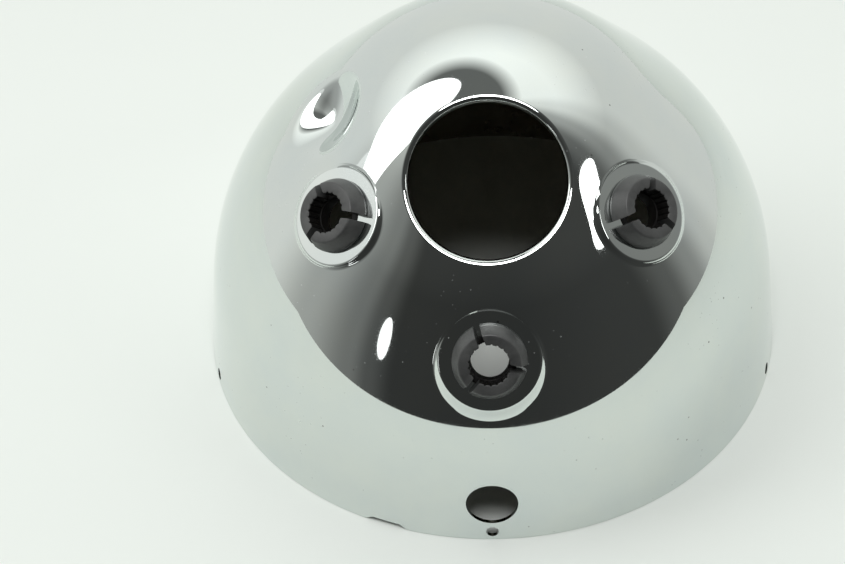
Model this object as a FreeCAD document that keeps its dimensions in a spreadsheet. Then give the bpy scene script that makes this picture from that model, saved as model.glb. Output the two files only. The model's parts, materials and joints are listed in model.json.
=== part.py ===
import FreeCAD, Part
import math
import os
import Sketcher

# A round motorcycle headlight shell with its three mounting dampers.
# It rests on its open front rim: Z runs up the dome axis, and the drain hole faces -Y.
# Turns are degrees around Z from -Y towards +X. A reach is a distance from Z, an inset one from the rim.
SIZES = {
    # pressed steel bowl
    "rim_radius": 90.0,
    "wall": 1.2,
    "skirt_height": 28.0,
    "skirt_draft": 6.0,
    "shoulder_radius": 90.0,
    "flank_lean": 45.0,
    "nose_radius": 63.0,
    # cable hole with its edge turned in
    "cable_hole_reach": 43.0,
    "cable_hole_tip": 2.0,
    "cable_hole_radius": 22.1,
    "lip_depth": 4.0,
    "lip_bend": 2.0,
    # flat seats for the dampers
    "seat_radius": 14.4,
    "seat_draft": 42.0,
    "seat_sink": 0.4,
    "side_seat_reach": 59.0,
    "side_seat_turn": 46.9,
    "lower_seat_inset": 13.7,
    "lower_seat_tip": 5.5,
    # pressed dimple
    "dimple_reach": 47.3,
    "dimple_turn": -79.5,
    "dimple_radius": 14.4,
    "dimple_depth": 7.5,
    "dimple_edge": 3.0,
    # holes and notch in the skirt
    "drain_radius": 7.6,
    "drain_height": 14.2,
    "screw_hole_radius": 1.85,
    "screw_hole_height": 3.1,
    "screw_hole_turn": 73.0,
    "notch_turn": -20.5,
    "notch_width": 13.4,
    "notch_top_width": 8.5,
    "notch_height": 1.6,
    # split damper bushes
    "neck_radius": 7.5,
    "neck_clearance": 0.1,
    "bore_radius": 5.4,
    "head_bore_radius": 5.6,
    "head_radius": 10.6,
    "head_band": 1.3,
    "head_end_radius": 8.7,
    "head_height": 5.6,
    "head_edge": 0.5,
    "flange_radius": 11.7,
    "flange_thickness": 3.0,
    "slot_width": 2.0,
    "slot_count": 3,
    "flute_radius": 0.3,
    "flutes_per_slot": 7,
    "left_damper_turn": 25.0,
    "right_damper_turn": 50.0,
    "lower_damper_turn": 110.0,
}

doc = FreeCAD.newDocument("headlight_cover")
sheet = doc.addObject("Spreadsheet::Sheet", "sizes")
for row, (alias, number) in enumerate(SIZES.items(), start=1):
    sheet.set("A%d" % row, alias)
    sheet.set("B%d" % row, str(number))
    sheet.setAlias("B%d" % row, alias)
doc.recompute()

UP = FreeCAD.Vector(0, 0, 1)
ACROSS = FreeCAD.Vector(1, 0, 0)
NEAR = 1e-3


def size(alias):
    """A driving dimension, read back from the sheet."""
    return float(sheet.get(alias))


def shift(distance):
    """A move along a frame's own axis."""
    return FreeCAD.Placement(UP * distance, FreeCAD.Rotation())


def origin_part(body, role):
    """One of a body's own origin planes or axes."""
    return next(part for part in body.Origin.OriginFeatures if part.Role == role)


def sketch_on(body, name, role):
    """An empty sketch on one of a body's own origin planes."""
    sketch = body.newObject("Sketcher::SketchObject", name)
    sketch.AttachmentSupport = [(origin_part(body, role), "")]
    sketch.MapMode = "FlatFace"
    return sketch


def bind(sketch, name, expression, *constraint):
    """A named constraint whose value follows the sheet."""
    index = sketch.addConstraint(Sketcher.Constraint(*constraint))
    sketch.renameConstraint(index, name)
    sketch.setExpression("Constraints." + name, expression)


def solid(kind, name, placement, **expressions):
    """A Part primitive whose sizes follow the sheet."""
    thing = doc.addObject(kind, name)
    for prop, expression in expressions.items():
        thing.setExpression(prop, expression)
    thing.Placement = placement
    return thing


def fuse(name, pieces):
    """Several solids joined into one."""
    joined = doc.addObject("Part::MultiFuse", name)
    joined.Shapes = pieces
    joined.Refine = True
    return joined


def cut(name, base, tools):
    """A solid with one or more tools taken out of it."""
    result = doc.addObject("Part::Cut", name)
    result.Base = base
    result.Tool = tools[0] if len(tools) == 1 else fuse(name + "_tools", tools)
    return result


# The bowl's outside section: a drafted skirt, a round shoulder, a straight flank and a round nose.
DRAFT = math.radians(size("skirt_draft"))
LEAN = math.radians(size("flank_lean"))
SKIRT_TOP_REACH = size("rim_radius") - size("skirt_height") * math.tan(DRAFT)
SHOULDER_REACH = SKIRT_TOP_REACH - size("shoulder_radius") * math.cos(DRAFT)
SHOULDER_HEIGHT = size("skirt_height") - size("shoulder_radius") * math.sin(DRAFT)
FLANK_FOOT_REACH = SHOULDER_REACH + size("shoulder_radius") * math.sin(LEAN)
FLANK_FOOT_HEIGHT = SHOULDER_HEIGHT + size("shoulder_radius") * math.cos(LEAN)
FLANK_TOP_REACH = size("nose_radius") * math.sin(LEAN)
FLANK_TOP_HEIGHT = FLANK_FOOT_HEIGHT + (FLANK_FOOT_REACH - FLANK_TOP_REACH) * math.tan(LEAN)
NOSE_CENTRE = FLANK_TOP_HEIGHT - size("nose_radius") * math.cos(LEAN)


def skin_at(reach):
    """Height of the bowl's outside and lean of its normal from Z, at a reach."""
    if reach >= SKIRT_TOP_REACH:
        return (size("rim_radius") - reach) / math.tan(DRAFT), math.pi / 2 - DRAFT
    if reach >= FLANK_FOOT_REACH:
        lean = math.asin((reach - SHOULDER_REACH) / size("shoulder_radius"))
        return SHOULDER_HEIGHT + size("shoulder_radius") * math.cos(lean), lean
    if reach >= FLANK_TOP_REACH:
        return FLANK_FOOT_HEIGHT + (FLANK_FOOT_REACH - reach) * math.tan(LEAN), LEAN
    lean = math.asin(reach / size("nose_radius"))
    return NOSE_CENTRE + size("nose_radius") * math.cos(lean), lean


def skin_frame(turn, reach, tip=0.0):
    """A frame on the bowl's outside: its Z is the normal, tipped up a little, and its Y runs up the slope."""
    height, lean = skin_at(reach)
    place = FreeCAD.Vector(0, -reach, height)
    lean_over = FreeCAD.Rotation(ACROSS, math.degrees(lean) - tip)
    around = FreeCAD.Rotation(UP, turn)
    return FreeCAD.Placement(around.multVec(place), around.multiply(lean_over))


def skirt_frame(turn, height, lean=90.0):
    """A frame well inside the skirt: its Z leans from the dome axis and points at a place on the skin."""
    skin = FreeCAD.Vector(0, height * math.tan(DRAFT) - size("rim_radius"), height)
    around = FreeCAD.Rotation(UP, turn)
    facing = around.multiply(FreeCAD.Rotation(ACROSS, lean))
    return FreeCAD.Placement(around.multVec(skin), facing).multiply(shift(-size("rim_radius") / 2))


SINK = shift(-size("seat_sink"))
SEATS = {
    "left": skin_frame(-size("side_seat_turn"), size("side_seat_reach")).multiply(SINK),
    "right": skin_frame(size("side_seat_turn"), size("side_seat_reach")).multiply(SINK),
    "lower": skin_frame(
        0, size("rim_radius") - size("lower_seat_inset"), size("lower_seat_tip")).multiply(SINK),
}
CABLE_HOLE = skin_frame(0, size("cable_hole_reach"), size("cable_hole_tip"))
DIMPLE = skin_frame(size("dimple_turn"), size("dimple_reach"))
DIMPLE_SPHERE = (size("dimple_radius") ** 2 + size("dimple_depth") ** 2) / (2 * size("dimple_depth"))
DIMPLE_BALL = DIMPLE.multiply(shift(DIMPLE_SPHERE - size("dimple_depth")))


def dome(name, depth, inset):
    """The plain bowl of revolution, filled solid, with its skin set in by a depth."""
    rim = size("rim_radius") - inset / math.cos(DRAFT)
    shoulder = size("shoulder_radius") - inset
    nose = size("nose_radius") - inset
    end = math.pi / 2 - LEAN
    skirt_top = size("skirt_height") - inset * math.sin(DRAFT)
    skirt_end = FreeCAD.Vector(SHOULDER_REACH + shoulder * math.cos(DRAFT), skirt_top, 0)
    foot = FreeCAD.Vector(
        SHOULDER_REACH + shoulder * math.sin(LEAN), SHOULDER_HEIGHT + shoulder * math.cos(LEAN), 0)
    top = FreeCAD.Vector(nose * math.sin(LEAN), NOSE_CENTRE + nose * math.cos(LEAN), 0)
    corner = FreeCAD.Vector(rim, 0, 0)
    apex = FreeCAD.Vector(0, NOSE_CENTRE + nose, 0)
    facing = FreeCAD.Vector(0, 0, 1)
    shoulder_circle = Part.Circle(FreeCAD.Vector(SHOULDER_REACH, SHOULDER_HEIGHT, 0), facing, shoulder)
    nose_circle = Part.Circle(FreeCAD.Vector(0, NOSE_CENTRE, 0), facing, nose)

    body = doc.addObject("PartDesign::Body", name)
    section = sketch_on(body, name + "_section", "XZ_Plane")
    base = section.addGeometry(Part.LineSegment(FreeCAD.Vector(), corner))
    skirt = section.addGeometry(Part.LineSegment(corner, skirt_end))
    bend = section.addGeometry(Part.ArcOfCircle(shoulder_circle, DRAFT, end))
    flank = section.addGeometry(Part.LineSegment(foot, top))
    cap = section.addGeometry(Part.ArcOfCircle(nose_circle, end, math.pi / 2))
    axis = section.addGeometry(Part.LineSegment(apex, FreeCAD.Vector()))
    for constraint in (
        ("Coincident", base, 1, -1, 1),
        ("Coincident", base, 2, skirt, 1),
        ("Coincident", cap, 2, axis, 1),
        ("Coincident", axis, 2, base, 1),
        ("Horizontal", base),
        ("Vertical", axis),
        ("Tangent", skirt, 2, bend, 1),
        ("Tangent", bend, 2, flank, 1),
        ("Tangent", flank, 2, cap, 1),
        ("PointOnObject", cap, 3, -2),
    ):
        section.addConstraint(Sketcher.Constraint(*constraint))
    draft = "sizes.skirt_draft * 1 deg"
    bind(section, "rim", "sizes.rim_radius - (%s) / cos(%s)" % (depth, draft),
         "DistanceX", base, 1, base, 2, rim)
    bind(section, "skirt", "sizes.skirt_height - (%s) * sin(%s)" % (depth, draft),
         "DistanceY", skirt, 1, skirt, 2, skirt_top)
    bind(section, "draft", "90 deg + " + draft, "Angle", skirt, math.pi / 2 + DRAFT)
    bind(section, "shoulder", "sizes.shoulder_radius - " + depth, "Radius", bend, shoulder)
    bind(section, "nose", "sizes.nose_radius - " + depth, "Radius", cap, nose)
    bind(section, "lean", "(180 - sizes.flank_lean) * 1 deg", "Angle", flank, math.pi - LEAN)

    turned = body.newObject("PartDesign::Revolution", name + "_turned")
    turned.Profile = section
    turned.ReferenceAxis = (section, ["V_Axis"])
    turned.Angle = 360
    return body


def form(name, depth, inset):
    """The pressing's form at a depth under its outside: dome, damper seats and dimple, filled solid."""
    # Drafted sides, set in square to themselves, so that the wall is even.
    draft = "sizes.seat_draft * 1 deg"
    seat = "(sizes.seat_radius + (%s) * (tan(%s) - 1 / cos(%s)))" % (depth, draft, draft)
    spread = "%s + sizes.seat_radius * tan(%s)" % (seat, draft)
    dents = [solid(
        "Part::Sphere", name + "_dimple", DIMPLE_BALL,
        Radius="(sizes.dimple_radius ^ 2 + sizes.dimple_depth ^ 2) / (2 * sizes.dimple_depth) + " + depth)]
    bosses = []
    for side, frame in SEATS.items():
        level = frame.multiply(shift(-inset))
        dents.append(solid(
            "Part::Cylinder", "%s_%s_flat" % (name, side), level, Radius=seat, Height="sizes.seat_radius"))
        bosses.append(solid(
            "Part::Cone", "%s_%s_boss" % (name, side), level.multiply(shift(-size("seat_radius"))),
            Radius1=spread, Radius2=seat, Height="sizes.seat_radius"))
    dented = cut(name + "_dented", dome(name + "_dome", depth, inset), dents)
    return fuse(name, [dented] + bosses)


def shell():
    """The bowl pressed from sheet: outside less inside, a turned-in lip, then the holes and the notch."""
    outside = form("outside", "0", 0.0)
    inside = form("inside", "sizes.wall", size("wall"))
    pressing = cut("pressing", outside, [inside])

    lip_core = dome("lip_inside", "sizes.lip_depth", size("lip_depth"))
    skin = cut("lip_skin", dome("lip_outside", "0", 0.0), [lip_core])
    plug = solid(
        "Part::Cylinder", "lip_plug", CABLE_HOLE.multiply(shift(-size("nose_radius"))),
        Radius="sizes.cable_hole_radius + sizes.wall", Height="2 * sizes.nose_radius")
    lip = doc.addObject("Part::Common", "lip")
    lip.Base = skin
    lip.Tool = plug

    square = 90 - size("skirt_draft")
    openings = [
        solid(
            "Part::Cylinder", "cable_hole", CABLE_HOLE.multiply(shift(-size("nose_radius"))),
            Radius="sizes.cable_hole_radius", Height="2 * sizes.nose_radius"),
        solid(
            "Part::Cylinder", "drain_hole", skirt_frame(0, size("drain_height"), square),
            Radius="sizes.drain_radius", Height="sizes.rim_radius"),
        solid(
            "Part::Wedge", "rim_notch", skirt_frame(size("notch_turn"), 0),
            Xmin="-sizes.notch_width / 2", Xmax="sizes.notch_width / 2",
            X2min="-sizes.notch_top_width / 2", X2max="sizes.notch_top_width / 2",
            Ymin="0", Ymax="sizes.notch_height",
            Zmin="0", Zmax="sizes.rim_radius", Z2min="0", Z2max="sizes.rim_radius"),
    ]
    for number in (-1, 0, 1):
        openings.append(solid(
            "Part::Cylinder", "screw_hole_%d" % (number + 2),
            skirt_frame(number * size("screw_hole_turn"), size("screw_hole_height"), square),
            Radius="sizes.screw_hole_radius", Height="sizes.rim_radius"))
    for side, frame in SEATS.items():
        openings.append(solid(
            "Part::Cylinder", side + "_damper_hole", frame.multiply(shift(-size("seat_radius"))),
            Radius="sizes.neck_radius + sizes.neck_clearance", Height="2 * sizes.seat_radius"))
    pierced = cut("pierced", fuse("lipped", [pressing, lip]), openings)
    doc.recompute()

    rounded = doc.addObject("Part::Fillet", "shell")
    rounded.Base = pierced
    rounded.Edges = [
        (number, radius, radius)
        for number, edge in enumerate(pierced.Shape.Edges, start=1)
        for radius in [edge_round(edge)] if radius]
    return rounded


def edge_round(edge):
    """Rounding of an edge of the bowl's outside: the cable hole's, the dimple's, or none."""
    if edge.Degenerated:
        return 0
    points = edge.discretize(5)
    on_skin = all(
        abs(point.z - skin_at(math.hypot(point.x, point.y))[0]) < NEAR
        for point in points if math.hypot(point.x, point.y) < size("rim_radius") - NEAR)
    clear_of_skirt = all(point.z > size("skirt_height") for point in points)
    if not (on_skin and clear_of_skirt):
        return 0
    from_hole = [math.hypot(*list(CABLE_HOLE.inverse().multVec(point))[:2]) for point in points]
    if all(abs(distance - size("cable_hole_radius")) < NEAR for distance in from_hole):
        return size("lip_bend")
    from_ball = [point.distanceToPoint(DIMPLE_BALL.Base) for point in points]
    if all(abs(distance - DIMPLE_SPHERE) < NEAR for distance in from_ball):
        return size("dimple_edge")
    return 0


def damper(name, frame):
    """A split bush: a fluted head outside the seat, a plain neck in the hole and a flange under the seat."""
    body = doc.addObject("PartDesign::Body", name)
    section = sketch_on(body, name + "_section", "XZ_Plane")
    wall = size("wall")
    bottom = -wall - size("flange_thickness")
    corners = [
        (size("bore_radius"), bottom),
        (size("flange_radius"), bottom),
        (size("flange_radius"), -wall),
        (size("neck_radius"), -wall),
        (size("neck_radius"), 0),
        (size("head_radius"), 0),
        (size("head_radius"), size("head_band")),
        (size("head_end_radius"), size("head_height")),
        (size("head_bore_radius"), size("head_height")),
        (size("head_bore_radius"), 0),
        (size("bore_radius"), 0),
    ]
    points = [FreeCAD.Vector(reach, height, 0) for reach, height in corners]
    sides = [
        section.addGeometry(Part.LineSegment(start, stop))
        for start, stop in zip(points, points[1:] + points[:1])]
    flange_under, flange_edge, flange_top, neck, head_under, band, draft, end, head_bore, step, bore = sides
    for first, second in zip(sides, sides[1:] + sides[:1]):
        section.addConstraint(Sketcher.Constraint("Coincident", first, 2, second, 1))
    for level in (flange_under, flange_top, head_under, end, step):
        section.addConstraint(Sketcher.Constraint("Horizontal", level))
    for upright in (flange_edge, neck, band, head_bore, bore):
        section.addConstraint(Sketcher.Constraint("Vertical", upright))
    for seated in (neck, head_bore):
        section.addConstraint(Sketcher.Constraint("PointOnObject", seated, 2, -1))
    for side, alias in (
            (bore, "bore_radius"), (head_bore, "head_bore_radius"), (flange_edge, "flange_radius"),
            (neck, "neck_radius"), (band, "head_radius"), (end, "head_end_radius")):
        bind(section, alias, "sizes." + alias, "DistanceX", -1, 1, side, 1, size(alias))
    bind(section, "grip", "sizes.wall", "DistanceY", neck, 1, neck, 2, wall)
    bind(section, "flange", "sizes.flange_thickness", "DistanceY", flange_edge, 1, flange_edge, 2,
         size("flange_thickness"))
    bind(section, "band", "sizes.head_band", "DistanceY", band, 1, band, 2, size("head_band"))
    bind(section, "head", "sizes.head_height", "DistanceY", -1, 1, end, 1, size("head_height"))

    turned = body.newObject("PartDesign::Revolution", name + "_turned")
    turned.Profile = section
    turned.ReferenceAxis = (section, ["V_Axis"])
    turned.Angle = 360
    doc.recompute()

    rim = next(
        number for number, edge in enumerate(turned.Shape.Edges, start=1)
        if isinstance(edge.Curve, Part.Circle) and abs(edge.Curve.Radius - size("head_end_radius")) < NEAR
        and abs(edge.Curve.Center.z - size("head_height")) < NEAR)
    softened = body.newObject("PartDesign::Fillet", name + "_softened")
    softened.Base = (turned, ["Edge%d" % rim])
    softened.setExpression("Radius", "sizes.head_edge")
    doc.recompute()

    slot_plan = sketch_on(body, name + "_slot_plan", "XY_Plane")
    half = size("slot_width") / 2
    reach = size("head_radius") + size("slot_width")
    corners = [(0, -half), (reach, -half), (reach, half), (0, half)]
    points = [FreeCAD.Vector(across, along, 0) for across, along in corners]
    near, out, far, back = [
        slot_plan.addGeometry(Part.LineSegment(start, stop))
        for start, stop in zip(points, points[1:] + points[:1])]
    for first, second in ((near, out), (out, far), (far, back), (back, near)):
        slot_plan.addConstraint(Sketcher.Constraint("Coincident", first, 2, second, 1))
    for constraint in (
        ("Horizontal", near),
        ("Horizontal", far),
        ("Vertical", out),
        ("Symmetric", back, 1, back, 2, -1, 1),
    ):
        slot_plan.addConstraint(Sketcher.Constraint(*constraint))
    bind(slot_plan, "width", "sizes.slot_width", "DistanceY", out, 1, out, 2, 2 * half)
    bind(slot_plan, "reach", "sizes.head_radius + sizes.slot_width", "DistanceX", near, 1, near, 2, reach)

    flute_plan = sketch_on(body, name + "_flute_plan", "XY_Plane")
    centre = FreeCAD.Vector(size("head_bore_radius"), 0, 0)
    flute_circle = flute_plan.addGeometry(Part.Circle(centre, FreeCAD.Vector(0, 0, 1), size("flute_radius")))
    flute_plan.addConstraint(Sketcher.Constraint("PointOnObject", flute_circle, 3, -1))
    bind(flute_plan, "place", "sizes.head_bore_radius", "DistanceX", -1, 1, flute_circle, 3,
         size("head_bore_radius"))
    bind(flute_plan, "round", "sizes.flute_radius", "Radius", flute_circle, size("flute_radius"))

    patterned("slot", body, slot_plan, "sizes.slot_count")
    patterned("flute", body, flute_plan, "sizes.slot_count * sizes.flutes_per_slot")
    body.Placement = frame
    return body


def patterned(what, body, plan, count):
    """A cut from the seat up through the head, repeated around the bore."""
    pocket = body.newObject("PartDesign::Pocket", "%s_%s" % (body.Name, what))
    pocket.Profile = plan
    pocket.Reversed = True
    pocket.setExpression("Length", "2 * sizes.head_height")
    doc.recompute()
    pattern = body.newObject("PartDesign::PolarPattern", "%s_%ss" % (body.Name, what))
    pattern.Originals = [pocket]
    pattern.Axis = (origin_part(body, "Z_Axis"), [""])
    pattern.Angle = 360
    pattern.setExpression("Occurrences", count)
    body.Tip = pattern
    doc.recompute()


pieces = {"shell": shell()}
for side, frame in SEATS.items():
    turn = FreeCAD.Placement(FreeCAD.Vector(), FreeCAD.Rotation(UP, size(side + "_damper_turn")))
    pieces["damper_" + side] = damper("damper_" + side, frame.multiply(turn))
doc.recompute()

for thing in doc.Objects:
    if "Invalid" in thing.State or "Error" in thing.State:
        raise RuntimeError("%s did not build" % thing.Label)
for label, piece in pieces.items():
    piece.Label = label
    if piece.Shape.isNull() or not piece.Shape.isValid() or len(piece.Shape.Solids) != 1:
        raise RuntimeError("%s is not one sound solid" % label)

os.makedirs("parts", exist_ok=True)
for label, piece in pieces.items():
    piece.Shape.exportStep("parts/%s.step" % label)
    print(label, round(piece.Shape.Volume), "mm3", len(piece.Shape.Faces), "faces")
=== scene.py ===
import json
import math

import bmesh
import bpy
import numpy as np
from mathutils import Matrix, Vector
from mathutils.geometry import delaunay_2d_cdt


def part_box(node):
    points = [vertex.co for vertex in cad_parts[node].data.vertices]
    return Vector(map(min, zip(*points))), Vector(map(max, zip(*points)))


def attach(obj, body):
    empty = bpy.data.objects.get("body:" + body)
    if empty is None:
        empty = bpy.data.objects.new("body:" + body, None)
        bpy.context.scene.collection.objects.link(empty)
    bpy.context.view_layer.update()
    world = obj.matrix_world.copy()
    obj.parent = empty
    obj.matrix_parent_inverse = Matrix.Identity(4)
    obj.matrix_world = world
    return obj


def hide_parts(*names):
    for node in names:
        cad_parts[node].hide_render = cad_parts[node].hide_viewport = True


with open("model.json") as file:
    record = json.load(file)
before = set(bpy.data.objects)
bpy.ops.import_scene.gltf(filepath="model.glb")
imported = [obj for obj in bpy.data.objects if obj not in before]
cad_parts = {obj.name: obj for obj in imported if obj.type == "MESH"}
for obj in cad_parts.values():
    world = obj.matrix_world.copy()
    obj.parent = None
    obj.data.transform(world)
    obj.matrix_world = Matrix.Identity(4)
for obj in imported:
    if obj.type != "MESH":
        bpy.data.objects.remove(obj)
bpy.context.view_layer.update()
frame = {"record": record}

# The shell: a round headlight bucket pressed from chrome-plated steel sheet, lying on its open rim.
# Skirt, shoulder, flank and nose run into each other without an edge, with three flat damper seats and a
# dimple pressed in. The edge of the cable hole is turned in, and the other holes are punched through.
MM = 0.001
WALL = 1.2
SKIRT_HEIGHT = 28.0
SKIRT_DRAFT = math.radians(6.0)
SHOULDER_RADIUS = 90.0
FLANK_LEAN = math.radians(45.0)
NOSE_RADIUS = 63.0
SECTION_BLEND = 5.0
SECTION_STEP = 0.02
SKIN_SPACING = 2.4
NORMAL_STEP = 0.02
SEARCH_DEEP = -24.0
SEARCH_CLEAR = 12.0
SEARCH_HALVINGS = 48

shell_high = np.array(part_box("shell")[1]) / MM
RIM_RADIUS = shell_high[0]
APEX_HEIGHT = shell_high[2]


def shell_section():
    """Arc length from the apex, reach from the axis, height and lean of the outside, its runs blended."""
    skirt_lean = math.pi / 2 - SKIRT_DRAFT
    nose = NOSE_RADIUS * FLANK_LEAN
    shoulder = SHOULDER_RADIUS * (skirt_lean - FLANK_LEAN)
    skirt = SKIRT_HEIGHT / math.cos(SKIRT_DRAFT)
    flank_reach = (
        RIM_RADIUS - SKIRT_HEIGHT * math.tan(SKIRT_DRAFT) - NOSE_RADIUS * math.sin(FLANK_LEAN)
        - SHOULDER_RADIUS * (math.sin(skirt_lean) - math.sin(FLANK_LEAN)))
    flank = flank_reach / math.cos(FLANK_LEAN)
    ends = np.cumsum([nose, flank, shoulder, skirt])
    spare = 4 * SECTION_BLEND
    arc = np.arange(-spare, ends[-1] + 2 * spare, SECTION_STEP)
    lean = np.interp(arc, [-nose, nose, ends[1], ends[2]], [-FLANK_LEAN, FLANK_LEAN, FLANK_LEAN, skirt_lean])
    window = np.arange(-3 * SECTION_BLEND, 3 * SECTION_BLEND + SECTION_STEP, SECTION_STEP)
    weight = np.exp(-(window / SECTION_BLEND) ** 2 / 2)
    lean = np.convolve(lean, weight / weight.sum(), "same")
    kept = (arc >= 0) & (arc <= ends[-1] + spare)
    arc, lean = arc[kept], lean[kept]
    reach = np.concatenate([[0], np.cumsum(np.cos((lean[1:] + lean[:-1]) / 2))]) * SECTION_STEP
    drop = np.concatenate([[0], np.cumsum(np.sin((lean[1:] + lean[:-1]) / 2))]) * SECTION_STEP
    reach *= RIM_RADIUS / np.interp(ends[-1], arc, reach)
    height = APEX_HEIGHT * (1 - drop / np.interp(ends[-1], arc, drop))
    return arc, reach, height, lean, ends[-1]


ARC, REACH, HEIGHT, LEAN, RIM_ARC = shell_section()


def dome(across, along):
    """Places on the plain dome from its flat plan, where reach from the middle is arc from the apex."""
    arc = np.hypot(across, along)
    turn = np.arctan2(across, -along)
    reach = np.interp(arc, ARC, REACH)
    return np.stack([reach * np.sin(turn), -reach * np.cos(turn), np.interp(arc, ARC, HEIGHT)], -1)


def out_axes(out):
    """Three rows: level and to the right, up the slope, and out."""
    out = np.array(out) / np.linalg.norm(out)
    turn = math.atan2(out[0], -out[1])
    level = np.array([math.cos(turn), math.sin(turn), 0.0])
    return np.stack([level, np.cross(out, level), out])


def on_skin(turn, reach, tip=0.0):
    """A place on the dome and its axes, with the way out tipped up a little."""
    lean = np.interp(reach, REACH, LEAN) - tip
    centre = np.array([reach * math.sin(turn), -reach * math.cos(turn), np.interp(reach, REACH, HEIGHT)])
    out = (math.sin(turn) * math.sin(lean), -math.cos(turn) * math.sin(lean), math.cos(lean))
    return centre, out_axes(out)


def at_mount(name, along):
    """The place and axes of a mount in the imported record, moved along its axis."""
    mount = next(mount for mount in frame["record"]["mounts"] if mount["name"] == name)
    axes = out_axes(mount["axis"])
    return np.array(mount["pos_m"]) / MM + along * axes[2], axes


def plan_under(place, across, up):
    """The plan's places straight under points that are measured across and up in a frame on the skin."""
    centre, axes = place
    start = centre + across[..., None] * axes[0] + up[..., None] * axes[1]
    deep = np.full(across.shape, SEARCH_DEEP)
    clear = np.full(across.shape, SEARCH_CLEAR)
    for _ in range(SEARCH_HALVINGS):
        middle = (deep + clear) / 2
        point = start + middle[..., None] * axes[2]
        inside = np.hypot(point[..., 0], point[..., 1]) < np.interp(point[..., 2], HEIGHT[::-1], REACH[::-1])
        deep = np.where(inside, middle, deep)
        clear = np.where(inside, clear, middle)
    point = start + deep[..., None] * axes[2]
    turn = np.arctan2(point[..., 0], -point[..., 1])
    arc = np.interp(point[..., 2], HEIGHT[::-1], ARC[::-1])
    return np.stack([arc * np.sin(turn), -arc * np.cos(turn)], -1)


def seen_from(place, points):
    """Points measured in a frame on the skin: across, up the slope and out."""
    centre, axes = place
    return np.moveaxis((points - centre) @ axes.T, -1, 0)


def soft_least(first, second, soft):
    """The lesser of two surfaces, with the edge between them rounded."""
    mix = np.clip(0.5 + 0.5 * (second - first) / soft, 0, 1)
    return second + (first - second) * mix - soft * mix * (1 - mix)


def soft_most(first, second, soft):
    """The greater of two surfaces, with the edge between them rounded."""
    return -soft_least(-first, -second, soft)


SEAT_RADIUS = 14.4
SEAT_SIDE_FALL = 1 / math.tan(math.radians(42.0))
SEAT_SIDE_RISE = 1.1
SEAT_EDGE = 0.5
SEAT_FOOT = 0.7
SEAT_FOOT_SHARE = 0.6
SEAT_NEAR = 2
LEAST_FOOT = 1e-9
DAMPER_GRIP = 4.2
SEATS = {side: at_mount(side + "_damper_bore", DAMPER_GRIP / 2) for side in ("left", "right", "lower")}

DIMPLE = on_skin(math.radians(-79.5), 47.3)
DIMPLE_RADIUS = 14.4
DIMPLE_DEPTH = 7.5
DIMPLE_LOW_POINT = (-1.9, -2.5)
DIMPLE_BOWL = 1.64
DIMPLE_CRISP_EDGE = 0.8
DIMPLE_SOFT_EDGE = 6.0
DIMPLE_CRISP_TURN = 1.9
DIMPLE_NEAR = 2.2
DIMPLE_FAR_SIDE = 2


def pressed(across, along):
    """Places on the outside as it leaves the press: the dome with its seats and its dimple."""
    points = dome(across, along)
    for seat in SEATS.values():
        right, up, out = seen_from(seat, points)
        reach = np.hypot(right, up)
        past_edge = soft_most(reach - SEAT_RADIUS, np.zeros_like(reach), SEAT_EDGE)
        floor = -SEAT_SIDE_FALL * past_edge
        ceiling = SEAT_SIDE_RISE * past_edge
        foot = np.minimum(SEAT_FOOT, SEAT_FOOT_SHARE * (ceiling - floor)) + LEAST_FOOT
        level = soft_least(soft_most(out, floor, foot), ceiling, foot)
        near = (reach < SEAT_NEAR * SEAT_RADIUS) & (out > -SEAT_RADIUS)
        points = points + np.where(near, level - out, 0)[..., None] * seat[1][2]
    right, up, out = seen_from(DIMPLE, points)
    reach = np.hypot(right, up)
    low_right, low_up = DIMPLE_LOW_POINT
    from_low = np.hypot(right - low_right, up - low_up)
    way = np.arctan2(up - low_up, right - low_right)
    toward = low_right * np.cos(way) + low_up * np.sin(way)
    to_edge = np.sqrt(toward ** 2 + DIMPLE_RADIUS ** 2 - low_right ** 2 - low_up ** 2) - toward
    share = from_low / to_edge
    inner = DIMPLE_DEPTH * (share ** DIMPLE_BOWL - 1)
    bowl = np.where(share < 1, inner, DIMPLE_DEPTH * DIMPLE_BOWL * (share - 1))
    crisp = 0.5 + 0.5 * np.cos(np.arctan2(up, right) - DIMPLE_CRISP_TURN)
    edge = DIMPLE_SOFT_EDGE + (DIMPLE_CRISP_EDGE - DIMPLE_SOFT_EDGE) * crisp
    dented = soft_least(out, bowl, edge)
    near = (reach < DIMPLE_NEAR * DIMPLE_RADIUS) & (out > -DIMPLE_FAR_SIDE * DIMPLE_RADIUS)
    return points + np.where(near, dented - out, 0)[..., None] * DIMPLE[1][2]


CABLE_HOLE = on_skin(0.0, 43.0, math.radians(2.0))
CABLE_HOLE_RADIUS = 22.1
LIP_BEND = 2.0
LIP_DEPTH = 4.0
DRAIN_HOLE = on_skin(0.0, np.interp(-14.2, -HEIGHT, REACH))
DRAIN_RADIUS = 7.6
DAMPER_HOLE_RADIUS = 7.6
SCREW_HOLE_RADIUS = 1.85
SCREW_HOLES = [at_mount(side + "_rim_screw_hole", WALL / 2) for side in ("left", "right", "lower")]
NOTCH_TURN = math.radians(-20.5)
NOTCH_WIDTH = 13.4
NOTCH_TOP_WIDTH = 8.5
NOTCH_HEIGHT = 1.6

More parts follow.
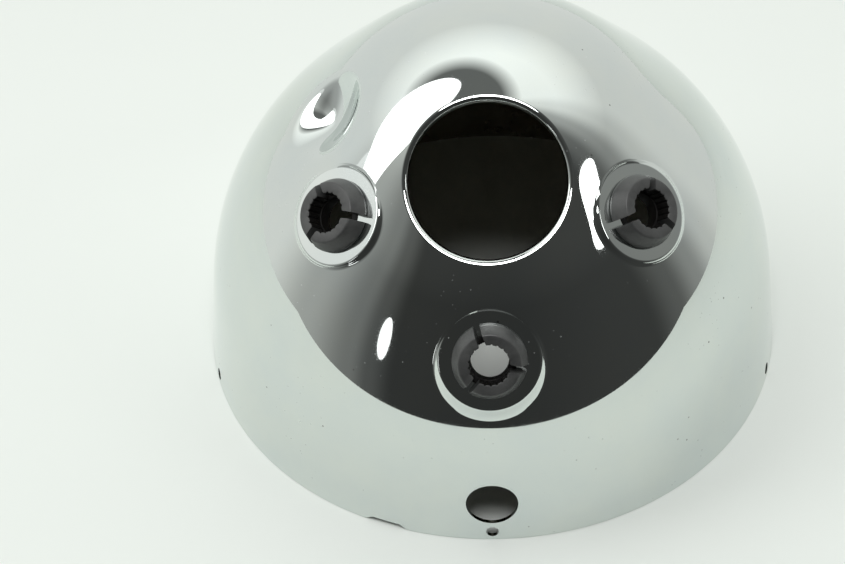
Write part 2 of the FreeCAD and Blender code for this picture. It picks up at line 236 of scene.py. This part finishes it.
RIM_POINTS = 540
CABLE_HOLE_POINTS = 240
CABLE_HOLE_RINGS = np.array([0, 0.5, 1.2, 2.2, 3.6])
DRAIN_POINTS = 96
DRAIN_RINGS = np.array([0, 0.6, 1.6, 3.2])
SCREW_HOLE_POINTS = 40
SCREW_HOLE_RINGS = np.array([0, 0.4, 1.1])
SEAT_POINTS = 150
SEAT_RINGS = 26
SEAT_CROWD_AT = 0.3
SEAT_MARGIN = 6
EVEN_SHARE = 0.12
CROWDED_SHARE = 0.88
DIMPLE_POINTS = 132
DIMPLE_STEP = 0.5
DIMPLE_FINE_FROM = 11
DIMPLE_FINE_STEP = 0.35
DIMPLE_MARGIN = 5
HOLE_SLACK = 0.999
FAR_SIDE = 3
FAR_SIDE_MARGIN = 4
RIM_SLACK = 1e-3
RIM_CLEAR = 0.5
PLAN_TOLERANCE = 1e-7


def rings(place, reaches, count):
    """Rings of the plan's places around a feature of the skin."""
    turn = np.arange(count) * 2 * math.pi / count
    return [plan_under(place, reach * np.cos(turn), reach * np.sin(turn)) for reach in reaches]


def rings_about(inner, edge, outer, count):
    """Reaches from inner to outer, crowded together at an edge."""
    step = np.linspace(-1, 1, count)
    crowd = EVEN_SHARE * step + CROWDED_SHARE * step ** 3
    return edge + np.where(step < 0, edge - inner, outer - edge) * crowd


def rim_loop(count):
    """The plan's places along the rim edge, stepped up over the notch."""
    turn = np.arange(count) * 2 * math.pi / count - math.pi
    corners = np.array([-NOTCH_WIDTH, -NOTCH_TOP_WIDTH, NOTCH_TOP_WIDTH, NOTCH_WIDTH]) / 2 / RIM_RADIUS
    turn = np.sort(np.concatenate([turn, NOTCH_TURN + corners]))
    height = np.interp(turn - NOTCH_TURN, corners, [0, NOTCH_HEIGHT, NOTCH_HEIGHT, 0])
    arc = np.interp(height, HEIGHT[::-1], ARC[::-1])
    return np.stack([arc * np.sin(turn), -arc * np.cos(turn)], -1)


def open_skin(points):
    """Which of some places on the plain dome are sheet, and not in a hole or in the notch."""
    holes = [(CABLE_HOLE, CABLE_HOLE_RADIUS + LIP_BEND), (DRAIN_HOLE, DRAIN_RADIUS)]
    holes += [(seat, DAMPER_HOLE_RADIUS) for seat in SEATS.values()]
    holes += [(screw, SCREW_HOLE_RADIUS) for screw in SCREW_HOLES]
    sheet = np.ones(len(points), bool)
    for place, radius in holes:
        right, up, out = seen_from(place, points)
        sheet &= (np.hypot(right, up) > radius * HOLE_SLACK) | (out < -FAR_SIDE * radius - FAR_SIDE_MARGIN)
    turn = np.arctan2(points[:, 0], -points[:, 1])
    corners = np.array([-NOTCH_WIDTH, -NOTCH_TOP_WIDTH, NOTCH_TOP_WIDTH, NOTCH_WIDTH]) / 2 / RIM_RADIUS
    step = np.interp(turn - NOTCH_TURN, corners, [0, NOTCH_HEIGHT, NOTCH_HEIGHT, 0], 0, 0)
    return sheet & (points[:, 2] > step - RIM_SLACK)


def skin_plan():
    """The plan's places and triangles for one side of the sheet, and the loops along its cut edges."""
    loops = [rim_loop(RIM_POINTS)]
    features = []

    def feature(place, reaches, count, cut):
        made = rings(place, reaches, count)
        loops.extend(made[:1] if cut else [])
        features.extend(made[1:] if cut else made)
        kept.append((place, reaches[-1]))

    kept = []
    lip_edge = CABLE_HOLE_RADIUS + LIP_BEND
    feature(CABLE_HOLE, lip_edge + CABLE_HOLE_RINGS, CABLE_HOLE_POINTS, True)
    feature(DRAIN_HOLE, DRAIN_RADIUS + DRAIN_RINGS, DRAIN_POINTS, True)
    for screw in SCREW_HOLES:
        feature(screw, SCREW_HOLE_RADIUS + SCREW_HOLE_RINGS, SCREW_HOLE_POINTS, True)
    for seat in SEATS.values():
        reaches = rings_about(
            DAMPER_HOLE_RADIUS, SEAT_RADIUS + SEAT_CROWD_AT, SEAT_RADIUS + SEAT_MARGIN, SEAT_RINGS)
        feature(seat, reaches, SEAT_POINTS, True)
    dimple_reaches = np.concatenate([
        np.arange(DIMPLE_STEP, DIMPLE_FINE_FROM, DIMPLE_STEP),
        np.arange(DIMPLE_FINE_FROM, DIMPLE_RADIUS + DIMPLE_MARGIN, DIMPLE_FINE_STEP)])
    feature(DIMPLE, dimple_reaches, DIMPLE_POINTS, False)

    ground = [np.zeros((1, 2))]
    for arc in np.arange(SKIN_SPACING, RIM_ARC - SKIN_SPACING / 2, SKIN_SPACING):
        count = int(round(2 * math.pi * arc / SKIN_SPACING))
        turn = (np.arange(count) + 0.5 * (len(ground) % 2)) * 2 * math.pi / count
        ground.append(np.stack([arc * np.sin(turn), -arc * np.cos(turn)], -1))
    ground = np.concatenate(ground)
    places = dome(ground[:, 0], ground[:, 1])
    free = places[:, 2] > NOTCH_HEIGHT + RIM_CLEAR
    for place, reach in kept:
        right, up, out = seen_from(place, places)
        free &= (np.hypot(right, up) > reach + SKIN_SPACING / 3) | (out < -FAR_SIDE * SEAT_RADIUS)
    cut_points = np.concatenate(loops)
    inner = np.concatenate(features)
    inner = inner[open_skin(dome(inner[:, 0], inner[:, 1]))]
    plan = np.concatenate([cut_points, inner, ground[free]])

    edges = []
    starts = np.cumsum([0] + [len(loop) for loop in loops])
    for start, loop in zip(starts, loops):
        edges += [(start + step, start + (step + 1) % len(loop)) for step in range(len(loop))]
    found = delaunay_2d_cdt([Vector(point) for point in plan], edges, [], 0, PLAN_TOLERANCE)
    plan = np.array([tuple(point) for point in found[0]])
    corners = np.array(found[2])
    origin = {first: new for new, olds in enumerate(found[3]) for first in olds}
    middle = plan[corners].mean(1)
    corners = corners[open_skin(dome(middle[:, 0], middle[:, 1]))]
    loop_points = [
        np.array([origin[start + step] for step in range(len(loop))]) for start, loop in zip(starts, loops)]
    return plan, corners, loop_points


def unit(vectors):
    """Vectors made one unit long."""
    return vectors / np.maximum(np.linalg.norm(vectors, axis=-1, keepdims=True), 1e-12)


BEND_ROWS = 11
SLOPE_STEP = 0.1
LIP_MIDDLE = 0.7


def lip_rows(loop_plan):
    """Rows of points and normals from the skin over the cable hole's bend and down its turned-in edge."""
    centre, axes = CABLE_HOLE
    right, up, out = seen_from(CABLE_HOLE, pressed(loop_plan[:, 0], loop_plan[:, 1]))
    turn = np.arctan2(up, right)
    way = np.stack([np.cos(turn), np.sin(turn)], -1)
    start = CABLE_HOLE_RADIUS + LIP_BEND
    beyond = plan_under(CABLE_HOLE, *(way * (start + SLOPE_STEP)).T)
    slope = (seen_from(CABLE_HOLE, dome(beyond[:, 0], beyond[:, 1]))[2] - out) / SLOPE_STEP
    corner = out - slope * LIP_BEND
    rows = []
    weight = math.cos(math.pi / 4)
    for step in np.linspace(0, 1, BEND_ROWS):
        share = np.array([(1 - step) ** 2, 2 * weight * step * (1 - step), step ** 2])
        share /= share.sum()
        reach = share[0] * start + (share[1] + share[2]) * CABLE_HOLE_RADIUS
        level = share[0] * out + share[1] * corner + share[2] * (corner - LIP_BEND)
        rows.append((np.full_like(level, reach), level))
    for depth in (LIP_MIDDLE * LIP_DEPTH, LIP_DEPTH):
        rows.append((np.full_like(out, CABLE_HOLE_RADIUS), corner - depth))
    points = np.stack([
        centre + (way[:, :1] * axes[0] + way[:, 1:] * axes[1]) * reach[:, None] + level[:, None] * axes[2]
        for reach, level in rows])
    around = np.roll(points, -1, 1) - np.roll(points, 1, 1)
    down = np.gradient(points, axis=0)
    normals = unit(np.cross(around, down))
    outward = normals @ axes[2]
    if outward[0].mean() < 0:
        normals = -normals
    return points, normals


def shell_mesh():
    """The sheet's outside, inside, turned-in lip and cut edges as one closed mesh with worked-out normals."""
    plan, corners, loops = skin_plan()
    across, along = plan.T
    outside = pressed(across, along)
    step_across = pressed(across + NORMAL_STEP, along) - pressed(across - NORMAL_STEP, along)
    step_along = pressed(across, along + NORMAL_STEP) - pressed(across, along - NORMAL_STEP)
    normals = unit(np.cross(step_across, step_along))
    count = len(outside)
    lip, lip_normals = lip_rows(plan[loops[1]])
    lip_normals[0] = normals[loops[1]]

    inside = outside - WALL * normals
    inside[loops[0], 2] = outside[loops[0], 2]
    points = [outside, inside]
    facing = [normals, -normals]
    places = unit(np.cross(outside[corners[:, 1]] - outside[corners[:, 0]],
                           outside[corners[:, 2]] - outside[corners[:, 0]]))
    wrong = (places * normals[corners[:, 0]]).sum(1) < 0
    corners[wrong] = corners[wrong][:, ::-1]
    faces = [tuple(face) for face in corners] + [tuple(face[::-1] + count) for face in corners]
    finishes = [0] * len(corners) + [1] * len(corners)
    flat = []

    def strip(first, second, finish, cut):
        follow = np.roll(first, -1), np.roll(second, -1)
        for one, two, three, four in zip(first, second, follow[1], follow[0]):
            flat.extend([len(faces)] if cut else [])
            faces.append((one, two, three, four))
            finishes.append(finish)

    rows, width = lip.shape[:2]
    outer_rows = [loops[1]] + [2 * count + (row - 1) * width + np.arange(width) for row in range(1, rows)]
    inner_start = 2 * count + (rows - 1) * width
    inner_rows = [loops[1] + count]
    inner_rows += [inner_start + (row - 1) * width + np.arange(width) for row in range(1, rows)]
    points += [lip[1:].reshape(-1, 3), (lip - WALL * lip_normals)[1:].reshape(-1, 3)]
    facing += [lip_normals[1:].reshape(-1, 3), -lip_normals[1:].reshape(-1, 3)]
    for row in range(rows - 1):
        strip(outer_rows[row + 1], outer_rows[row], 0, False)
        strip(inner_rows[row], inner_rows[row + 1], 1, False)
    strip(inner_rows[-1], outer_rows[-1], 0, True)
    strip(loops[0], loops[0] + count, 0, True)
    for loop in loops[2:]:
        strip(loop + count, loop, 0, True)

    points = np.concatenate(points)
    facing = np.concatenate(facing)
    mesh = bpy.data.meshes.new("shell_sheet")
    mesh.from_pydata((points * MM).tolist(), [], faces)
    corner_normals = [facing[list(face)] for face in faces]
    for number in flat:
        one, two, three, four = points[list(faces[number])]
        corner_normals[number] = np.tile(unit(np.cross(three - one, four - two)), (4, 1))
    mesh.polygons.foreach_set("use_smooth", np.ones(len(faces), bool))
    mesh.polygons.foreach_set("material_index", np.array(finishes, np.int32))
    mesh.normals_split_custom_set(np.concatenate(corner_normals).tolist())
    mesh.update()
    return mesh


def new_material(name):
    """An empty node material with its shader."""
    material = bpy.data.materials.new(name)
    material.use_nodes = True
    nodes = material.node_tree.nodes
    return material, nodes, material.node_tree.links, nodes["Principled BSDF"]


def node(nodes, kind, **sockets):
    """A node with some of its inputs and settings filled in."""
    made = nodes.new(kind)
    for name, value in sockets.items():
        if name in made.bl_rna.properties:
            setattr(made, name, value)
        else:
            made.inputs[name.replace("_", " ")].default_value = value
    return made


def chrome_plate():
    """Bright chrome with wiping haze in soft patches, hair scratches and a few dark pits."""
    material, nodes, links, shader = new_material("chrome_plate")
    where = node(nodes, "ShaderNodeTexCoord")

    haze = node(nodes, "ShaderNodeTexNoise", Scale=38.0, Detail=4.0, Roughness=0.6)
    links.new(where.outputs["Object"], haze.inputs["Vector"])
    stretched = node(nodes, "ShaderNodeMapping", Scale=(1.0, 14.0, 3.0))
    links.new(where.outputs["Object"], stretched.inputs["Vector"])
    hairs = node(nodes, "ShaderNodeTexNoise", Scale=260.0, Detail=2.0)
    links.new(stretched.outputs["Vector"], hairs.inputs["Vector"])
    hair_lines = node(nodes, "ShaderNodeMapRange", From_Min=0.62, From_Max=0.78, To_Min=0.0, To_Max=0.035)
    links.new(hairs.outputs["Fac"], hair_lines.inputs["Value"])
    hazed = node(nodes, "ShaderNodeMapRange", From_Min=0.45, From_Max=0.8, To_Min=0.02, To_Max=0.075)
    links.new(haze.outputs["Fac"], hazed.inputs["Value"])
    rough = node(nodes, "ShaderNodeMath", operation="ADD")
    links.new(hazed.outputs["Result"], rough.inputs[0])
    links.new(hair_lines.outputs["Result"], rough.inputs[1])
    links.new(rough.outputs["Value"], shader.inputs["Roughness"])

    pits = node(nodes, "ShaderNodeTexVoronoi", Scale=170.0, Randomness=1.0)
    links.new(where.outputs["Object"], pits.inputs["Vector"])
    pit_spots = node(nodes, "ShaderNodeMapRange", From_Min=0.035, From_Max=0.06, To_Min=1.0, To_Max=0.0)
    links.new(pits.outputs["Distance"], pit_spots.inputs["Value"])
    pit_zone = node(nodes, "ShaderNodeTexNoise", Scale=24.0, Detail=1.0)
    links.new(where.outputs["Object"], pit_zone.inputs["Vector"])
    pit_share = node(nodes, "ShaderNodeMapRange", From_Min=0.56, From_Max=0.62, To_Min=0.0, To_Max=0.9)
    links.new(pit_zone.outputs["Fac"], pit_share.inputs["Value"])
    pitted = node(nodes, "ShaderNodeMath", operation="MULTIPLY")
    links.new(pit_spots.outputs["Result"], pitted.inputs[0])
    links.new(pit_share.outputs["Result"], pitted.inputs[1])

    tint = node(nodes, "ShaderNodeValToRGB")
    tint.color_ramp.elements[0].position = 0.35
    tint.color_ramp.elements[0].color = (0.70, 0.735, 0.705, 1)
    tint.color_ramp.elements[1].position = 0.75
    tint.color_ramp.elements[1].color = (0.655, 0.70, 0.695, 1)
    links.new(haze.outputs["Fac"], tint.inputs["Fac"])
    colour = node(nodes, "ShaderNodeMix", data_type="RGBA")
    colour.inputs["B"].default_value = (0.06, 0.055, 0.045, 1)
    links.new(pitted.outputs["Value"], colour.inputs["Factor"])
    links.new(tint.outputs["Color"], colour.inputs["A"])

    dust = node(nodes, "ShaderNodeTexVoronoi", Scale=420.0, Randomness=1.0)
    links.new(where.outputs["Object"], dust.inputs["Vector"])
    grains = node(nodes, "ShaderNodeMapRange", From_Min=0.05, From_Max=0.11, To_Min=1.0, To_Max=0.0)
    links.new(dust.outputs["Distance"], grains.inputs["Value"])
    dust_zone = node(nodes, "ShaderNodeTexNoise", Scale=52.0, Detail=2.0)
    links.new(where.outputs["Object"], dust_zone.inputs["Vector"])
    dust_share = node(nodes, "ShaderNodeMapRange", From_Min=0.53, From_Max=0.66, To_Min=0.0, To_Max=0.55)
    links.new(dust_zone.outputs["Fac"], dust_share.inputs["Value"])
    dusty = node(nodes, "ShaderNodeMath", operation="MULTIPLY")
    links.new(grains.outputs["Result"], dusty.inputs[0])
    links.new(dust_share.outputs["Result"], dusty.inputs[1])
    bare = node(nodes, "ShaderNodeMath", operation="SUBTRACT")
    bare.inputs[0].default_value = 1.0
    links.new(dusty.outputs["Value"], bare.inputs[1])
    links.new(bare.outputs["Value"], shader.inputs["Metallic"])
    links.new(colour.outputs["Result"], shader.inputs["Base Color"])
    return material


def bare_inside():
    """The inside of the pressing: thin dull plate over steel, browned in patches."""
    material, nodes, links, shader = new_material("dull_inside_plate")
    shader.inputs["Metallic"].default_value = 1.0
    where = node(nodes, "ShaderNodeTexCoord")
    stain = node(nodes, "ShaderNodeTexNoise", Scale=30.0, Detail=6.0, Roughness=0.65)
    links.new(where.outputs["Object"], stain.inputs["Vector"])
    tint = node(nodes, "ShaderNodeValToRGB")
    tint.color_ramp.elements[0].position = 0.3
    tint.color_ramp.elements[0].color = (0.58, 0.56, 0.51, 1)
    tint.color_ramp.elements[1].position = 0.72
    tint.color_ramp.elements[1].color = (0.38, 0.32, 0.25, 1)
    links.new(stain.outputs["Fac"], tint.inputs["Fac"])
    links.new(tint.outputs["Color"], shader.inputs["Base Color"])
    rough = node(nodes, "ShaderNodeMapRange", From_Min=0.3, From_Max=0.7, To_Min=0.16, To_Max=0.36)
    links.new(stain.outputs["Fac"], rough.inputs["Value"])
    links.new(rough.outputs["Result"], shader.inputs["Roughness"])
    return material


shell = bpy.data.objects.new("headlight_shell", shell_mesh())
shell.data.materials.append(chrome_plate())
shell.data.materials.append(bare_inside())
bpy.context.scene.collection.objects.link(shell)
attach(shell, "root")
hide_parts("shell")

# The dampers: three split bushes moulded in black rubber, one in each seat.
# The slotted head is squeezed through the seat's hole and springs open outside. Its bore is fluted, and a
# plain neck and a flange hold the bush from inside the shell.
BORE_RADIUS = 5.4
HEAD_BORE_RADIUS = 5.6
HEAD_RADIUS = 10.6
HEAD_BAND = 1.3
HEAD_END_RADIUS = 8.7
HEAD_HEIGHT = 5.6
HEAD_EDGE = 0.5
NECK_RADIUS = 7.5
FLANGE_RADIUS = 11.7
SLOT_WIDTH = 2.0
SLOTS = 3
FLUTES_PER_SLOT = 7
FLUTE_RADIUS = 0.3
FINGER_STEPS = 72
COLLAR_STEPS = 96
COLLAR_EDGE = 0.3
CORNER_LIMIT = 0.45
SHEET_CLEARANCE = 0.05
BORE_MARGIN = 0.1
SHARP_ANGLE = math.radians(32)
DAMPER_TURNS = {"left": math.radians(25.0), "right": math.radians(50.0), "lower": math.radians(110.0)}


def rounded_section(corners, edge, steps=4):
    """A closed section with each corner rounded off, as points (reach, height)."""
    points = []
    for number, corner in enumerate(corners):
        corner = np.array(corner, float)
        before = np.array(corners[number - 1], float) - corner
        after = np.array(corners[(number + 1) % len(corners)], float) - corner
        cut = min(edge, CORNER_LIMIT * np.linalg.norm(before), CORNER_LIMIT * np.linalg.norm(after))
        start, end = corner + unit(before) * cut, corner + unit(after) * cut
        for step in np.linspace(0, 1, steps):
            points.append((1 - step) ** 2 * start + 2 * step * (1 - step) * corner + step ** 2 * end)
    return points


def head_segment(mould, middle):
    """One of the head's fingers: a tapered arc between two slots, with flutes in its bore."""
    section = rounded_section([
        (HEAD_BORE_RADIUS, SHEET_CLEARANCE), (HEAD_RADIUS, SHEET_CLEARANCE), (HEAD_RADIUS, HEAD_BAND),
        (HEAD_END_RADIUS, HEAD_HEIGHT), (HEAD_BORE_RADIUS, HEAD_HEIGHT)], HEAD_EDGE)
    rows = []
    for share in np.linspace(-1, 1, FINGER_STEPS + 1):
        row = []
        for reach, height in section:
            half = math.pi / SLOTS - math.asin(SLOT_WIDTH / 2 / reach)
            turn = middle + share * half
            pitch = 2 * math.pi / SLOTS / FLUTES_PER_SLOT
            off = ((turn - middle + pitch / 2) % pitch - pitch / 2) * HEAD_BORE_RADIUS
            flute = math.sqrt(max(FLUTE_RADIUS ** 2 - off ** 2, 0))
            near_bore = max(0.0, 1 - (reach - HEAD_BORE_RADIUS) / (2 * HEAD_EDGE))
            reach += flute * near_bore
            row.append(mould.verts.new((reach * math.cos(turn), reach * math.sin(turn), height)))
        rows.append(row)
    for first, second in zip(rows, rows[1:]):
        for number in range(len(section)):
            following = (number + 1) % len(section)
            face = mould.faces.new((first[number], second[number], second[following], first[following]))
            furthest = max(section[number][0], section[following][0])
            # Faces on the bore take the second material, whose near-black colour is painted shade.
            face.material_index = int(furthest < HEAD_BORE_RADIUS + BORE_MARGIN)
    mould.faces.new(rows[0])
    mould.faces.new(rows[-1][::-1])


def damper_mesh(side):
    """A bush around its own axis, with its seat at height 0."""
    mould = bmesh.new()
    for slot in range(SLOTS):
        head_segment(mould, DAMPER_TURNS[side] + (slot + 0.5) * 2 * math.pi / SLOTS)
    section = rounded_section([
        (BORE_RADIUS, -DAMPER_GRIP), (FLANGE_RADIUS, -DAMPER_GRIP), (FLANGE_RADIUS, -WALL - SHEET_CLEARANCE),
        (NECK_RADIUS, -WALL - SHEET_CLEARANCE), (NECK_RADIUS, SHEET_CLEARANCE),
        (BORE_RADIUS, SHEET_CLEARANCE)], COLLAR_EDGE)
    ring = []
    for turn in np.arange(COLLAR_STEPS) * 2 * math.pi / COLLAR_STEPS:
        ring.append([
            mould.verts.new((reach * math.cos(turn), reach * math.sin(turn), height))
            for reach, height in section])
    for first, second in zip(ring, ring[1:] + ring[:1]):
        for number in range(len(section)):
            following = (number + 1) % len(section)
            face = mould.faces.new((first[number], second[number], second[following], first[following]))
            # Faces on the bore take the second material, whose near-black colour is painted shade.
            face.material_index = int(max(section[number][0], section[following][0]) < NECK_RADIUS)
    bmesh.ops.recalc_face_normals(mould, faces=mould.faces)
    for edge in mould.edges:
        edge.smooth = len(edge.link_faces) < 2 or edge.calc_face_angle(0) < SHARP_ANGLE
    for face in mould.faces:
        face.smooth = True
    mesh = bpy.data.meshes.new("damper_%s_rubber" % side)
    mould.to_mesh(mesh)
    mould.free()
    return mesh


def damper_rubber():
    """Dull black rubber with a fine moulded grain, a little dust and rubbed grey patches."""
    material, nodes, links, shader = new_material("damper_rubber")
    where = node(nodes, "ShaderNodeTexCoord")
    patches = node(nodes, "ShaderNodeTexNoise", Scale=180.0, Detail=5.0, Roughness=0.6)
    links.new(where.outputs["Object"], patches.inputs["Vector"])
    tint = node(nodes, "ShaderNodeValToRGB")
    tint.color_ramp.elements[0].position = 0.3
    tint.color_ramp.elements[0].color = (0.042, 0.043, 0.043, 1)
    tint.color_ramp.elements[1].position = 0.75
    tint.color_ramp.elements[1].color = (0.085, 0.087, 0.085, 1)
    links.new(patches.outputs["Fac"], tint.inputs["Fac"])
    links.new(tint.outputs["Color"], shader.inputs["Base Color"])
    rough = node(nodes, "ShaderNodeMapRange", From_Min=0.3, From_Max=0.7, To_Min=0.34, To_Max=0.5)
    links.new(patches.outputs["Fac"], rough.inputs["Value"])
    links.new(rough.outputs["Result"], shader.inputs["Roughness"])
    grain = node(nodes, "ShaderNodeTexNoise", Scale=2600.0, Detail=2.0)
    links.new(where.outputs["Object"], grain.inputs["Vector"])
    bump = node(nodes, "ShaderNodeBump", Strength=0.12, Distance=0.0002)
    links.new(grain.outputs["Fac"], bump.inputs["Height"])
    links.new(bump.outputs["Normal"], shader.inputs["Normal"])
    return material


def painted_shade_bore():
    """The bore's rubber, made near black as painted shade for the shadow deep in the bore, uneven in tone and
    a little shiny.
    """
    material, nodes, links, shader = new_material("painted_shade_bore")
    where = node(nodes, "ShaderNodeTexCoord")
    bore_tone_noise = node(nodes, "ShaderNodeTexNoise", Scale=420.0, Detail=3.0)
    links.new(where.outputs["Object"], bore_tone_noise.inputs["Vector"])
    tint = node(nodes, "ShaderNodeValToRGB")
    # Painted shade: the bore's rubber is made near black to stand in for the shadow inside the bore.
    tint.color_ramp.elements[0].color = (0.004, 0.004, 0.004, 1)
    tint.color_ramp.elements[1].color = (0.014, 0.013, 0.012, 1)
    links.new(bore_tone_noise.outputs["Fac"], tint.inputs["Fac"])
    links.new(tint.outputs["Color"], shader.inputs["Base Color"])
    rough = node(nodes, "ShaderNodeMapRange", From_Min=0.3, From_Max=0.7, To_Min=0.35, To_Max=0.6)
    links.new(bore_tone_noise.outputs["Fac"], rough.inputs["Value"])
    links.new(rough.outputs["Result"], shader.inputs["Roughness"])
    shader.inputs["Specular IOR Level"].default_value = 0.25
    return material


rubber = damper_rubber()
# The bore's material carries painted shade for the inside of the bore.
bore_shade_rubber = painted_shade_bore()
for side, (centre, axes) in SEATS.items():
    damper = bpy.data.objects.new("split_damper_" + side, damper_mesh(side))
    placed = Matrix(np.vstack([np.column_stack([axes.T * MM, centre * MM]), [0, 0, 0, 1]]).tolist())
    damper.data.transform(placed)
    damper.data.materials.append(rubber)
    damper.data.materials.append(bore_shade_rubber)
    bpy.context.scene.collection.objects.link(damper)
    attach(damper, "root")
    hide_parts("damper_" + side)

# The stage: a wide pale table top, a bright room behind the shell and a dim one in front of it.
# A round light hangs overhead, a tall soft one and a weak low one stand at the left, and two narrow ones
# stand at the right and at the front left.
FLOOR_HALF = 0.9
FLOOR_FRONT = -0.215
FLOOR_LEVEL = -0.0001


def table_top():
    """Off-white laminate with the faintest cloudiness."""
    material, nodes, links, shader = new_material("pale_table_top")
    where = node(nodes, "ShaderNodeTexCoord")
    clouds = node(nodes, "ShaderNodeTexNoise", Scale=6.0, Detail=3.0)
    links.new(where.outputs["Object"], clouds.inputs["Vector"])
    tint = node(nodes, "ShaderNodeValToRGB")
    tint.color_ramp.elements[0].color = (0.785, 0.825, 0.785, 1)
    tint.color_ramp.elements[1].color = (0.815, 0.85, 0.815, 1)
    links.new(clouds.outputs["Fac"], tint.inputs["Fac"])
    links.new(tint.outputs["Color"], shader.inputs["Base Color"])
    shader.inputs["Roughness"].default_value = 0.6
    shader.inputs["Specular IOR Level"].default_value = 0.2
    return material


floor_mesh = bpy.data.meshes.new("table_top")
floor_corners = [
    (-FLOOR_HALF, FLOOR_FRONT), (FLOOR_HALF, FLOOR_FRONT),
    (FLOOR_HALF, FLOOR_HALF), (-FLOOR_HALF, FLOOR_HALF)]
floor_mesh.from_pydata([(x, y, FLOOR_LEVEL) for x, y in floor_corners], [], [(0, 1, 2, 3)])
floor_mesh.materials.append(table_top())
floor = bpy.data.objects.new("table_top", floor_mesh)
bpy.context.scene.collection.objects.link(floor)


def room_light():
    """A soft room: white behind and brighter higher up, dim in front, and grey overhead."""
    world = bpy.data.worlds.new("soft_room")
    bpy.context.scene.world = world
    world.use_nodes = True
    nodes, links = world.node_tree.nodes, world.node_tree.links
    where = node(nodes, "ShaderNodeTexCoord")
    parts = node(nodes, "ShaderNodeSeparateXYZ")
    links.new(where.outputs["Generated"], parts.inputs["Vector"])
    heading = node(nodes, "ShaderNodeMath", operation="ARCTAN2")
    links.new(parts.outputs["X"], heading.inputs[0])
    links.new(parts.outputs["Y"], heading.inputs[1])
    share = node(nodes, "ShaderNodeMapRange", From_Min=-math.pi, From_Max=math.pi, To_Min=0.0, To_Max=1.0)
    links.new(heading.outputs["Value"], share.inputs["Value"])
    around = node(nodes, "ShaderNodeValToRGB")
    ramp = around.color_ramp
    ramp.interpolation = "EASE"
    stops = [
        (-180, 0.035), (-144, 0.04), (-134, 0.1), (-126, 0.2), (-104, 0.44), (-78, 0.84), (0, 0.84),
        (66, 0.76), (78, 0.6), (90, 0.3), (102, 0.12), (116, 0.05), (180, 0.035)]
    for turn, _ in stops[1:-1]:
        ramp.elements.new(turn / 360 + 0.5)
    for stop, (_, grey) in zip(ramp.elements, stops):
        stop.color = (grey, grey * 1.02, grey * 0.99, 1)
    links.new(share.outputs["Result"], around.inputs["Fac"])
    higher = node(nodes, "ShaderNodeMapRange", From_Min=0.5, From_Max=0.82, To_Min=1.0, To_Max=1.55)
    links.new(parts.outputs["Z"], higher.inputs["Value"])
    lifted = node(nodes, "ShaderNodeVectorMath", operation="SCALE")
    links.new(around.outputs["Color"], lifted.inputs[0])
    links.new(higher.outputs["Result"], lifted.inputs["Scale"])
    to_ceiling = node(nodes, "ShaderNodeVectorMath", operation="DOT_PRODUCT")
    to_ceiling.inputs[1].default_value = (-0.24, 0.05, 0.97)
    links.new(where.outputs["Generated"], to_ceiling.inputs[0])
    overhead = node(nodes, "ShaderNodeMapRange", From_Min=0.86, From_Max=0.93, To_Min=0.0, To_Max=1.0)
    links.new(to_ceiling.outputs["Value"], overhead.inputs["Value"])
    mixed = node(nodes, "ShaderNodeMix", data_type="RGBA")
    mixed.inputs["B"].default_value = (0.16, 0.165, 0.16, 1)
    links.new(overhead.outputs["Result"], mixed.inputs["Factor"])
    links.new(lifted.outputs["Vector"], mixed.inputs["A"])
    links.new(mixed.outputs["Result"], nodes["Background"].inputs["Color"])
    nodes["Background"].inputs["Strength"].default_value = 1.0


room_light()
LAMP_TARGET = Vector((0, 0, 0.05))
for name, turn, lift, roll, distance, width, height, power in (
        ("overhead_key", 0, 72, 0, 3.0, 1.3, 1.3, 42.0),
        ("left_softbox", -97, 52, 33, 3.0, 1.2, 3.1, 20.0),
        ("left_low_panel", -84, 27, 0, 3.0, 0.7, 0.7, 0.45),
        ("right_strip", 68, 35.5, 0, 3.0, 0.95, 0.28, 2.4),
        ("front_left_strip", -41, 10, 0, 1.6, 0.13, 0.46, 0.3)):
    lamp = bpy.data.lights.new(name, "AREA")
    lamp.shape = "ELLIPSE"
    lamp.size, lamp.size_y, lamp.energy = width, height, power
    turn, lift = math.radians(turn), math.radians(lift)
    aim = Vector((math.sin(turn) * math.cos(lift), -math.cos(turn) * math.cos(lift), math.sin(lift)))
    stand = bpy.data.objects.new(name, lamp)
    stand.location = LAMP_TARGET + aim * distance
    rolled = Matrix.Rotation(math.radians(roll), 3, "Z")
    stand.rotation_euler = (aim.to_track_quat("Z", "Y").to_matrix() @ rolled).to_euler()
    stand.visible_camera = False
    bpy.context.scene.collection.objects.link(stand)

# The camera: a long lens above the front, looking down the shell's front at the photograph's angle.
# Its three directions and its place are those of the camera fitted to the shell's outline and round holes.
IMAGE_WIDTH = 845
FOCAL_PIXELS = 2100
CAMERA_RIGHT = Vector((0.999185, 0.018719, -0.035754))
CAMERA_DOWN = Vector((-0.011843, -0.710924, -0.703170))
CAMERA_AHEAD = Vector((-0.038580, 0.703020, -0.710123))
CAMERA_PLACE = Vector((0.004102, -0.470029, 0.491428))
lens = bpy.data.cameras.new("photo_lens")
lens.sensor_fit = "HORIZONTAL"
lens.sensor_width = 36.0
lens.lens = lens.sensor_width * FOCAL_PIXELS / IMAGE_WIDTH
camera = bpy.data.objects.new("photo_camera", lens)
camera.matrix_world = Matrix((
    (CAMERA_RIGHT.x, -CAMERA_DOWN.x, -CAMERA_AHEAD.x, CAMERA_PLACE.x),
    (CAMERA_RIGHT.y, -CAMERA_DOWN.y, -CAMERA_AHEAD.y, CAMERA_PLACE.y),
    (CAMERA_RIGHT.z, -CAMERA_DOWN.z, -CAMERA_AHEAD.z, CAMERA_PLACE.z),
    (0, 0, 0, 1)))
bpy.context.scene.collection.objects.link(camera)
bpy.context.scene.camera = camera
bpy.context.scene.view_settings.view_transform = "Standard"
